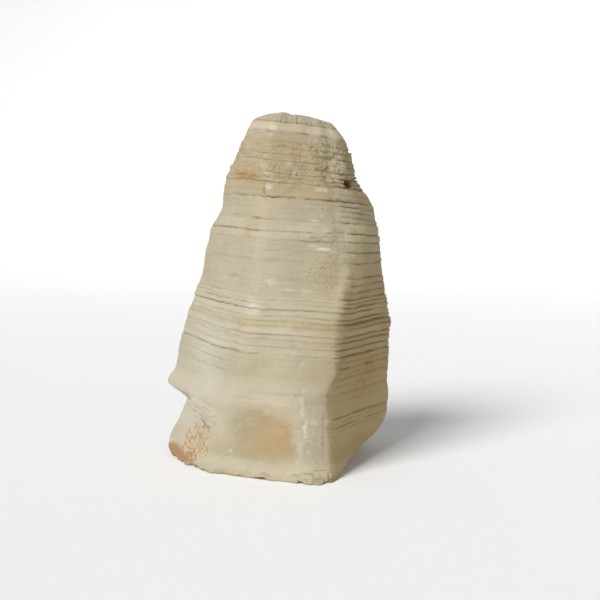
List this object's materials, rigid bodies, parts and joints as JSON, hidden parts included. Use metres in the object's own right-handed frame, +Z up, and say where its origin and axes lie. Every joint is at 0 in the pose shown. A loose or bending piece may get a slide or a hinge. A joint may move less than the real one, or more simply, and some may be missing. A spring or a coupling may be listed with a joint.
{
  "type": "river rock",
  "caption": "Upright, tapering river stone of thin beds, with ledges, grooves, a chipped arris and a flat underside that it stands on.",
  "frame": {"origin": "middle of the stone's box on the surface that it stands on", "axes": "+Z up, along the stone's height; -Y is the broad front face; +X is the shaded side towards which the beds dip and the underside rises"},
  "size_m": [0.1936, 0.1603, 0.2804],
  "materials": {
    "stone": "dry, matt, fine-grained, cream to buff in thin beds"
  },
  "bodies": {
    "root": {"river_rock": "stone"}
  },
  "joints": []
}
